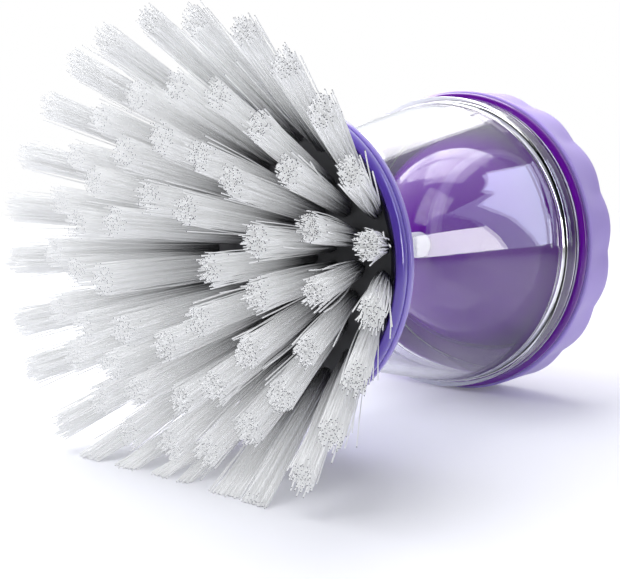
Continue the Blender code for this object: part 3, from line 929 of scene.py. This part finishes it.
@dataclass
class Collar:
    """The fixed ring round the barrel's neck, the brush head's rim and the dark plate behind the tufts."""

    neck: Profile = Profile(
        "neck_band", "neck_ring", Body.HANDLE, Slot.VIOLET, steps=192, edge=0.12, outline=(
            (28.9, -63.3), (31.75, -63.3), (32.0, -62.8), (31.85, -61.7), (31.0, -61.0), (29.3, -58.3),
            (26.2, -55.6), (23.0, -53.7), (21.5, -53.7), (21.5, -56.7), (19.2, -56.7), (19.2, -58.3),
            (27.5, -58.3), (27.5, -61.3), (27.8, -61.3), (27.8, -62.1), (28.9, -62.1)))
    rim: Profile = Profile(
        "head_band", "head_rim", Body.HEAD, Slot.VIOLET, steps=192, edge=0.12, outline=(
            (27.8, -62.4), (27.8, -63.2), (30.6, -66.1), (31.1, -66.6), (31.5, -66.35), (31.9, -65.7),
            (32.0, -64.9), (31.75, -63.6), (28.6, -63.6), (28.6, -62.4)))
    plate: Profile = Profile(
        "tuft_plate", "brush_plate", Body.HEAD, Slot.DARK, steps=128, outline=(
            (5.2, -63.2), (27.5, -63.2), (27.5, -61.5), (27.2, -61.2), (27.2, -59.6), (5.2, -59.6)))

    def build(self, lathe: Lathe) -> None:
        """Model and dress both bands and the plate.

        Args:
            lathe: what turns and finishes them.
        """
        neck = lathe.make(self.neck)
        # The rear band takes the paler, lit copy of the violet: painted light.
        neck.data.materials[0] = lathe.finishes.painted_lit_violet
        lathe.make(self.rim)
        lathe.make(self.plate)


@dataclass
class Filament:
    """The one filament that every tuft is made of: a square prism of unit length about +Z."""

    sides: int = 4
    segments: int = 5

    def build(self) -> tuple[np.ndarray, list[tuple[int, ...]]]:
        """Model the filament with operators.

        Returns:
            Its corners, and its faces as tuples of corner numbers.
        """
        deselect_all()
        bpy.ops.mesh.primitive_circle_add(vertices=self.sides, radius=1.0, fill_type="NGON")
        piece = bpy.context.object
        bpy.ops.object.mode_set(mode="EDIT")
        for _ in range(self.segments):
            bpy.ops.mesh.extrude_region_move(TRANSFORM_OT_translate={"value": (0, 0, 1 / self.segments)})
        bpy.ops.mesh.select_all(action="SELECT")
        bpy.ops.mesh.normals_make_consistent(inside=False)
        bpy.ops.object.mode_set(mode="OBJECT")
        corners = np.empty(len(piece.data.vertices) * 3)
        piece.data.vertices.foreach_get("co", corners)
        faces = [tuple(face.vertices) for face in piece.data.polygons]
        bpy.data.objects.remove(piece)
        return corners.reshape(-1, 3), faces


@dataclass
class BristleRing:
    """One ring of tufts, each a bundle of copies of the filament."""

    MAP_NAME = "strand"
    END_MARGIN = 0.1
    TINT_SEED = 100
    FLAT = 1e-6
    SIDEWAYS = (0.31, 0.7, 0.64)

    number: int
    tufts: int
    root_radius: float
    tip_radius: float
    reach: float
    first_turn: float
    seed: int
    strands: int = 130
    thickness: float = 0.13 * MM
    root_spread: float = 1.8 * MM
    tip_spread: float = 2.75 * MM
    scatter: float = 0.17
    length_scatter: float = 0.35 * MM
    bow_scatter: float = 0.35 * MM
    turn_scatter: float = 0.012
    width_range: tuple[float, float] = (0.92, 1.08)
    plate_height: float = -63.2 * MM
    root_depth: float = 0.4 * MM
    stray_share: float = 0.06
    stray_reach: float = 2.4
    stray_shortening: float = 3 * MM
    floor_clearance: float = 0.15 * MM
    press_shortening: float = 0.35
    press_splay: float = 0.35

    def lines(self, axis: BrushAxis) -> Run:
        """Draw where every filament runs.

        Args:
            axis: where the brush lies.

        Returns:
            Root points, free tip points and bows as the brush lies, each an array of filaments by axes.
        """
        draw = np.random.default_rng(self.seed)
        roots, tips, bows = [], [], []
        order = np.arange(self.strands)
        golden = math.pi * (3 - math.sqrt(5))
        for tuft in range(self.tufts):
            turn = math.radians(self.first_turn) + math.tau * tuft / self.tufts
            turn += draw.normal(0, self.turn_scatter)
            outward = np.array((-math.sin(turn), math.cos(turn), 0))
            across = np.array((math.cos(turn), math.sin(turn), 0))
            sides = np.stack([outward, across])
            place = np.sqrt((order + 0.5) / self.strands)
            angle = order * golden + draw.uniform(0, math.tau)
            spread = np.stack([place * np.cos(angle), place * np.sin(angle)], 1)
            jitter = draw.normal(0, self.scatter, (self.strands, 2)) * self.tip_spread
            stray = draw.uniform(size=self.strands) < self.stray_share
            jitter[stray] *= self.stray_reach
            width = self.tip_spread * draw.uniform(*self.width_range)
            tip = spread * width + jitter + draw.normal(0, self.length_scatter, 2)
            length = draw.normal(0, self.length_scatter, self.strands)
            length -= stray * draw.uniform(0, self.stray_shortening, self.strands)
            down = np.zeros((self.strands, 3))
            down[:, 2] = self.plate_height - self.reach - length
            height = np.array((0, 0, self.plate_height + self.root_depth))
            roots.append(spread * self.root_spread @ sides + outward * self.root_radius + height)
            tips.append(tip @ sides + outward * self.tip_radius + down)
            bows.append(draw.normal(0, self.bow_scatter, (self.strands, 2)) @ sides)
        matrix = np.array(axis.matrix())
        turned = matrix[:3, :3].T
        return (np.concatenate(roots) @ turned + matrix[:3, 3], np.concatenate(tips) @ turned + matrix[:3, 3],
                np.concatenate(bows) @ turned)

    def centre(self, run: Run, axis: BrushAxis, share: float) -> np.ndarray:
        """Find the middles of the filaments, bent where the floor presses them in.

        Args:
            run: where the filaments run.
            axis: where the brush lies.
            share: the share of their length.

        Returns:
            An array of filaments by axes.
        """
        roots, tips, bows = run
        sunk = np.maximum(self.floor_clearance - tips[:, 2], 0)[:, None]
        lift = sunk * np.array(UP)
        back = sunk * self.press_shortening * np.array(axis.direction)
        splay = sunk * self.press_splay * np.sign(tips[:, 1:2]) * np.array(ACROSS)
        straight = roots * (1 - share) + tips * share
        return straight + bows * (4 * share * (1 - share)) + (lift + back + splay) * share ** 2

    def build(self, axis: BrushAxis, finishes: Finishes) -> None:
        """Copy the filament along every line and hang the ring on the brush head.

        Args:
            axis: where the brush lies.
            finishes: what the ring is dressed from.
        """
        corners, faces = Filament().build()
        run = self.lines(axis)
        count = len(run[0])
        along = run[1] - run[0]
        along /= np.linalg.norm(along, axis=1, keepdims=True)
        first = np.cross(along, np.array(self.SIDEWAYS))
        first /= np.linalg.norm(first, axis=1, keepdims=True)
        second = np.cross(along, first)
        placed = np.empty((count, len(corners), 3))
        for index, (x, y, share) in enumerate(corners):
            placed[:, index] = self.centre(run, axis, share) + (first * x + second * y) * self.thickness
        starts = np.arange(count) * len(corners)
        all_faces = [tuple(start + corner for corner in face) for start in starts.tolist() for face in faces]
        name = "tufts_%d" % self.number
        mesh = bpy.data.meshes.new(name)
        mesh.from_pydata(placed.reshape(-1, 3), [], all_faces)
        self.map_strands(mesh, corners, faces, count)
        piece = bpy.data.objects.new(name, mesh)
        bpy.context.scene.collection.objects.link(piece)
        finishes.dress(piece, Slot.NYLON)
        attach(piece, Body.HEAD.value)
        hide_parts("bristle_ring_%d" % self.number)
        LOG.info("%s: %d filaments, %d faces", name, count, len(all_faces))

    def map_strands(self, mesh: bpy.types.Mesh, corners: np.ndarray, faces: list[tuple[int, ...]],
                    count: int) -> None:
        """Give the ring its map: a random number across, and the share of the length along.

        A cut end lies beyond 1 along the map, so that its colour can differ from the sides'.

        Args:
            mesh: the ring's mesh.
            corners: the corners of the one filament.
            faces: its faces.
            count: how many filaments the ring has.
        """
        tint = np.random.default_rng(self.seed + self.TINT_SEED).uniform(size=count)
        rows = []
        flat = []
        for face in faces:
            shares = [corners[corner][2] for corner in face]
            is_tip = min(shares) > 1 - self.FLAT
            rows.extend(1 + self.END_MARGIN if is_tip else share for share in shares)
            flat.append(max(shares) - min(shares) < self.FLAT)
        layer = mesh.uv_layers.new(name=self.MAP_NAME)
        coordinates = np.stack([np.repeat(tint, len(rows)), np.tile(rows, count)], 1)
        layer.data.foreach_set("uv", coordinates.astype(np.float32).ravel())
        mesh.polygons.foreach_set("use_smooth", np.tile(~np.array(flat), count))
        mesh.update()


@dataclass
class Bristles:
    """The four rings: how many tufts, radius at root and tip, reach, and the first tuft's turn in degrees."""

    rings: tuple[tuple[int, float, float, float, float], ...] = (
        (8, 7.6 * MM, 14.0 * MM, 36.2 * MM, 35.4),
        (15, 13.3 * MM, 24.4 * MM, 34.7 * MM, 16.7),
        (20, 19.2 * MM, 34.1 * MM, 31.6 * MM, 0.0),
        (25, 25.4 * MM, 46.4 * MM, 32.0 * MM, 10.8),
    )
    seed: int = 41

    def build(self, axis: BrushAxis, finishes: Finishes) -> None:
        """Make every ring."""
        for number, (tufts, root, tip, reach, turn) in enumerate(self.rings, 1):
            BristleRing(number, tufts, root, tip, reach, turn, self.seed + number).build(axis, finishes)


@dataclass
class LidAndButton:
    """The lid behind the cup, with the push button in its well."""

    lid: Profile = Profile(
        "lid_disc", "lid_plate", Body.LID, Slot.PURPLE, steps=160, edge=0.25, segments=3, outline=(
            (3.5, 9.0), (6.0, 9.0), (6.0, 10.2), (11.6, 10.2), (11.6, 12.2), (23.6, 12.2), (23.6, 8.4),
            (25.0, 8.4), (25.0, 12.2), (33.2, 12.2), (33.2, 13.5), (32.7, 14.0), (29.0, 14.0), (28.7, 13.8),
            (28.1, 13.8), (27.8, 14.0), (12.4, 14.0), (11.6, 15.2), (10.2, 15.2), (10.2, 11.6), (3.5, 11.6)))
    shank: tuple[Point, ...] = (
        (0, 7.3), (3.1, 7.3), (3.1, 7.7), (2.5, 7.7), (2.5, 9.0), (3.1, 9.0), (3.1, 15.4), (9.5, 15.4),
        (9.7, 15.6))
    crown_radius: float = 9.7
    crown_bottom: float = 17.0
    crown_height: float = 2.9
    crown_steps: int = 10
    button_steps: int = 96

    def build(self, lathe: Lathe) -> None:
        """Model and dress the lid and the button, whose sizes are in millimetres.

        Args:
            lathe: what turns and finishes them.
        """
        lathe.make(self.lid)
        turns = [math.pi / 2 * step / self.crown_steps for step in range(self.crown_steps)]
        crown = [(self.crown_radius * math.cos(turn), self.crown_bottom + self.crown_height * math.sin(turn))
                 for turn in turns]
        top = (0, self.crown_bottom + self.crown_height)
        lathe.make(Profile("button_cap", "push_button", Body.BUTTON, Slot.LAVENDER,
                           (*self.shank, *crown, top), self.button_steps))


@dataclass
class ValveSpring:
    """The coil spring under the stem's washer, which closes up as the stem is pushed."""

    radius: float = 2.9 * MM
    wire_radius: float = 0.35 * MM
    turns: int = 6
    steps: int = 28
    wire_corners: int = 12
    travel: float = 3.5 * MM

    def build(self, lathe: Lathe, frame: dict) -> None:
        """Wind the wire between the ends of its solid.

        Args:
            lathe: what lays it over and finishes it.
        """
        matrix = lathe.axis.matrix()
        upright = matrix.inverted()
        heights = [(upright @ corner.co).z for corner in frame["nodes"]["return_spring"].data.vertices]
        bottom, top = min(heights), max(heights)
        rise = top - bottom - 2 * self.wire_radius
        deselect_all()
        bpy.ops.mesh.primitive_circle_add(
            vertices=self.wire_corners, radius=self.wire_radius,
            location=(self.radius, 0, bottom + self.wire_radius), rotation=(math.pi / 2, 0, 0))
        wire = bpy.context.object
        wire.name = "valve_spring"
        wire.data.name = "valve_spring"
        bpy.ops.object.transform_apply(location=True, rotation=True, scale=True)
        coil = wire.modifiers.new("coil", "SCREW")
        coil.screw_offset = rise / self.turns
        coil.iterations = self.turns
        coil.steps = self.steps
        coil.render_steps = self.steps
        bpy.ops.object.modifier_apply(modifier=coil.name)
        bpy.ops.object.mode_set(mode="EDIT")
        bpy.ops.mesh.select_all(action="SELECT")
        bpy.ops.mesh.fill_holes(sides=self.wire_corners)
        bpy.ops.mesh.normals_make_consistent(inside=False)
        bpy.ops.object.mode_set(mode="OBJECT")
        lathe.complete(wire, Body.HANDLE, Slot.STEEL, "return_spring")
        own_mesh(wire)


@dataclass(frozen=True)
class GlossCard:
    """A light card that only gloss sees, hung where its reflection has an outline given in the picture."""

    name: str
    outline: tuple[Point, ...]
    strength: float
    distance: float
    colour: Colour = WHITE


def oval(centre: Point, width: float, height: float, corners: int = 40) -> tuple[Point, ...]:
    """Outline of an upright oval in the picture."""
    turns = [math.tau * corner / corners for corner in range(corners)]
    return tuple((centre[0] + width / 2 * math.cos(turn), centre[1] + height / 2 * math.sin(turn))
                 for turn in turns)


BAR_PIXELS = ((417, 236), (450, 231), (487, 226), (500, 237), (509, 249), (460, 254), (417, 260))
NEAR_WINDOW_PIXELS = (
    (481, 204), (509, 183), (533, 161), (543, 178), (550, 205), (553, 243), (541, 246), (531, 233),
    (513, 217))
FAR_WINDOW_PIXELS = (
    (449, 213), (479, 198), (509, 178), (533, 161), (540, 200), (540, 246), (509, 249), (492, 230),
    (474, 219))
OVERHEAD_PIXELS = (
    (394, 176), (401, 181), (425, 177), (454, 174), (474, 162), (494, 151), (515, 140), (503, 131),
    (484, 125), (462, 126), (441, 131), (420, 143), (405, 158))
INNER_OVAL_PIXELS = oval((497, 236), width=112, height=164)
OUTER_OVAL_PIXELS = oval((493, 236), width=126, height=174)

WINDOW_BLUE: Colour = (0.74, 0.78, 1.0)
OVAL_BLUE: Colour = (0.86, 0.88, 1.0)

SHELL_CARDS = (
    GlossCard("bar_card", BAR_PIXELS, strength=7.5, distance=0.90),
    GlossCard("near_window_card", NEAR_WINDOW_PIXELS, strength=6.5, distance=0.95, colour=WINDOW_BLUE),
    GlossCard("far_window_card", FAR_WINDOW_PIXELS, strength=2.2, distance=1.00, colour=WINDOW_BLUE),
    GlossCard("inner_oval_card", INNER_OVAL_PIXELS, strength=0.8, distance=1.05, colour=OVAL_BLUE),
    GlossCard("outer_oval_card", OUTER_OVAL_PIXELS, strength=1.7, distance=1.10, colour=OVAL_BLUE),
)
DOME_CARDS = (
    GlossCard("overhead_card", OVERHEAD_PIXELS, strength=5.0, distance=1.20),
)


@dataclass(frozen=True)
class Softbox:
    """A rectangular soft lamp that faces a point."""

    name: str
    place: Place
    target: Place
    size: Point
    power: float


LAMPS = (
    Softbox("overhead", place=(0.05, 0.20, 0.62), target=(0, 0, 0.04), size=(0.70, 0.50), power=4.2),
    Softbox("left_key", place=(-0.50, 0.30, 0.38), target=(-0.03, 0, 0.04), size=(0.40, 0.40), power=1.6),
)


@dataclass
class Studio:
    """The pale floor, the soft lights and the camera."""

    eye: Place = (-227.191 * MM, -175.558 * MM, 77.741 * MM)
    azimuth: float = -50.524
    elevation: float = 9.524
    focal_pixels: float = 1328.59
    image_width: int = 620
    image_height: int = 579
    sensor_width: float = 36.0
    clip_start: float = 10 * MM
    clip_end: float = 50.0
    floor_size: float = 12.0
    floor_drop: float = 0.05 * MM
    floor_near: float = 0.20
    floor_far: float = 0.45
    floor_colours: tuple[Colour, Colour] = ((0.80, 0.805, 0.86), (0.82, 0.825, 0.87))
    floor_cloud_scale: float = 3.0
    floor_roughness: float = 0.6
    floor_specular: float = 0.2
    floor_lift: float = 0.12
    floor_reflection_dimming: float = 0.55
    sky: Colour = (0.93, 0.95, 1.0)
    world_light: float = 0.42
    bright_side: Place = (0.45, 0.60, 0.66)
    gloss_contrast: float = 1.5
    gloss_floor: float = 0.06
    card_cuts: int = 7

    def back(self) -> Vector:
        """Direction from the target to the camera."""
        turn, rise = math.radians(self.azimuth), math.radians(self.elevation)
        return Vector((math.sin(turn) * math.cos(rise), -math.cos(turn) * math.cos(rise), math.sin(rise)))

    def build_camera(self) -> None:
        """Place the camera at the photograph's viewing angle."""
        data = bpy.data.cameras.new("camera")
        data.sensor_fit = "HORIZONTAL"
        data.sensor_width = self.sensor_width
        data.lens = self.focal_pixels * self.sensor_width / self.image_width
        data.clip_start = self.clip_start
        data.clip_end = self.clip_end
        camera = bpy.data.objects.new("camera", data)
        camera.location = self.eye
        camera.rotation_mode = "QUATERNION"
        camera.rotation_quaternion = (-self.back()).to_track_quat("-Z", "Y")
        bpy.context.scene.collection.objects.link(camera)
        bpy.context.scene.camera = camera

    def build_floor(self) -> None:
        """Lay a pale floor that runs out to plain white and keeps the brush's shadow; in reflections its
        white is dimmed, a painted darker reflection.
        """
        deselect_all()
        bpy.ops.mesh.primitive_plane_add(size=self.floor_size, location=(0, 0, -self.floor_drop))
        floor = bpy.context.object
        floor.name = "floor"
        bpy.ops.object.transform_apply(location=True, rotation=True, scale=True)
        sheet = MaterialSheet("floor_pale")
        reach = sheet.value("ShaderNodeVectorMath", "Value", {"operation": "LENGTH"}, {0: sheet.place()})
        far = ((reach - self.floor_near) * (1 / (self.floor_far - self.floor_near))).clamped()
        ground = sheet.principled({
            "Base Color": sheet.blend(sheet.noise(self.floor_cloud_scale), *self.floor_colours),
            "Roughness": self.floor_roughness, "Specular IOR Level": self.floor_specular})
        # Painted reflection: gloss sees this white dimmed, darker than the floor is.
        white = sheet.emission(1 - sheet.mirrored_rays() * self.floor_reflection_dimming)
        lifted = sheet.node("ShaderNodeAddShader", None, {0: ground, 1: sheet.emission(self.floor_lift)})
        seen = sheet.seen_rays()
        near = sheet.mixed(seen, ground, lifted.outputs[0])
        floor.data.materials.append(sheet.finish(sheet.mixed(seen * far, near, white)))

    def build_world(self) -> None:
        """A white surround for camera and clear pieces, a shaded one in gloss, and a soft one for light."""
        world = bpy.data.worlds.new("surround")
        world.use_nodes = True
        sheet = MaterialSheet.of_tree(world.node_tree, "ShaderNodeOutputWorld")
        facing = sheet.value("ShaderNodeVectorMath", "Value", {"operation": "DOT_PRODUCT"}, {
            0: sheet.value("ShaderNodeTexCoord", "Generated"), 1: self.bright_side})
        room = sheet.background((facing * self.gloss_contrast).larger(self.gloss_floor), self.sky)
        seen = sheet.mixed(sheet.mirrored_rays(), sheet.background(1.0), room)
        light = sheet.background(self.world_light, self.sky)
        sheet.show(sheet.mixed(sheet.seen_rays(), light, seen))
        bpy.context.scene.world = world

    def reflect(self, mirror: bpy.types.Object, pixel: Point, distance: float) -> Vector:
        """Where the camera's ray through a pixel goes after a piece has reflected it.

        Args:
            mirror: the piece, whose object sits at the origin.
            pixel: a place in the picture.
            distance: how far the ray is followed.

        Returns:
            The ray's end.
        """
        back = self.back()
        right = UP.cross(back).normalized()
        across = (pixel[0] - self.image_width / 2) / self.focal_pixels
        rise = (self.image_height / 2 - pixel[1]) / self.focal_pixels
        ray = (right * across + back.cross(right) * rise - back).normalized()
        hit, place, _, number = mirror.ray_cast(Vector(self.eye), ray)
        if not hit:
            raise ValueError("%s isn't seen at %s" % (mirror.name, pixel))
        corners = [mirror.data.vertices[index] for index in mirror.data.polygons[number].vertices]
        shares = poly_3d_calc([corner.co for corner in corners], place)
        normal = sum((corner.normal * share for corner, share in zip(corners, shares)), Vector()).normalized()
        return place + ray.reflect(normal) * distance

    def hang_card(self, card: GlossCard, mirror: bpy.types.Object) -> None:
        """Hang a card where a piece mirrors it with the card's outline in the picture.

        Args:
            card: the card.
            mirror: the piece that mirrors it.
        """
        deselect_all()
        mesh = bpy.data.meshes.new(card.name)
        mesh.from_pydata([(*point, 0) for point in card.outline], [], [tuple(range(len(card.outline)))])
        hung = bpy.data.objects.new(card.name, mesh)
        bpy.context.scene.collection.objects.link(hung)
        bpy.context.view_layer.objects.active = hung
        hung.select_set(True)
        bpy.ops.object.mode_set(mode="EDIT")
        bpy.ops.mesh.select_all(action="SELECT")
        bpy.ops.mesh.quads_convert_to_tris()
        bpy.ops.mesh.subdivide(number_cuts=self.card_cuts)
        bpy.ops.object.mode_set(mode="OBJECT")
        for corner in mesh.vertices:
            corner.co = self.reflect(mirror, (corner.co.x, corner.co.y), card.distance)
        mesh.update()
        sheet = MaterialSheet(card.name)
        glow = sheet.emission(card.strength, card.colour)
        gone = sheet.node("ShaderNodeBsdfTransparent")
        mesh.materials.append(sheet.finish(sheet.mixed(sheet.mirrored_rays(), gone.outputs[0], glow)))
        sheet.material.cycles.emission_sampling = "NONE"
        hung.visible_camera = False
        hung.visible_diffuse = False
        hung.visible_shadow = False

    def hang_cards(self, shell: bpy.types.Object, dome: bpy.types.Object) -> None:
        """Hang the cards that the clear shell and the dome behind it mirror.

        Args:
            shell: the clear shell.
            dome: the domed cup.
        """
        bpy.context.view_layer.update()
        for card in SHELL_CARDS:
            self.hang_card(card, shell)
        for card in DOME_CARDS:
            self.hang_card(card, dome)

    def hang_lamp(self, softbox: Softbox) -> None:
        """Hang a soft lamp that no gloss shows.

        Args:
            softbox: the lamp.
        """
        data = bpy.data.lights.new(softbox.name, "AREA")
        data.shape = "RECTANGLE"
        data.size, data.size_y = softbox.size
        data.energy = softbox.power
        lamp = bpy.data.objects.new(softbox.name, data)
        lamp.location = softbox.place
        lamp.rotation_mode = "QUATERNION"
        lamp.rotation_quaternion = (Vector(softbox.target) - Vector(softbox.place)).to_track_quat("-Z", "Y")
        lamp.visible_glossy = False
        bpy.context.scene.collection.objects.link(lamp)

    def build(self) -> None:
        """Set up the floor, surround, lamps and camera."""
        bpy.context.scene.view_settings.view_transform = "Standard"
        self.build_camera()
        self.build_floor()
        self.build_world()
        for softbox in LAMPS:
            self.hang_lamp(softbox)
        LOG.info("studio: camera at %s", tuple(round(part, 4) for part in self.eye))


def dress_nodes(frame: dict, finishes: Finishes) -> None:
    """Give each node the finish of its slot, apart from the bristle rings, all of which the tufts replace.

    Args:
        finishes: the finish of each slot.
    """
    for part in frame["record"]["subparts"]:
        slot = Slot(part["material_slot"])
        if slot is not Slot.NYLON:
            finishes.dress(frame["nodes"][part["node"]], slot)


def main() -> None:
    """Build the brush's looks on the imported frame."""
    logging.basicConfig(level=logging.INFO, format="%(name)s %(message)s")
    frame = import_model()
    studio = Studio()
    studio.build()
    axis = BrushAxis.from_frame(frame)
    finishes = Finishes()
    finishes.build()
    dress_nodes(frame, finishes)
    lathe = Lathe(axis, finishes)
    shell = Barrel().build(lathe)
    dome = Cap().build(lathe)
    Collar().build(lathe)
    Bristles().build(axis, finishes)
    LidAndButton().build(lathe)
    ValveSpring().build(lathe, frame)
    studio.hang_cards(shell, dome)


if __name__ == "__main__":
    main()
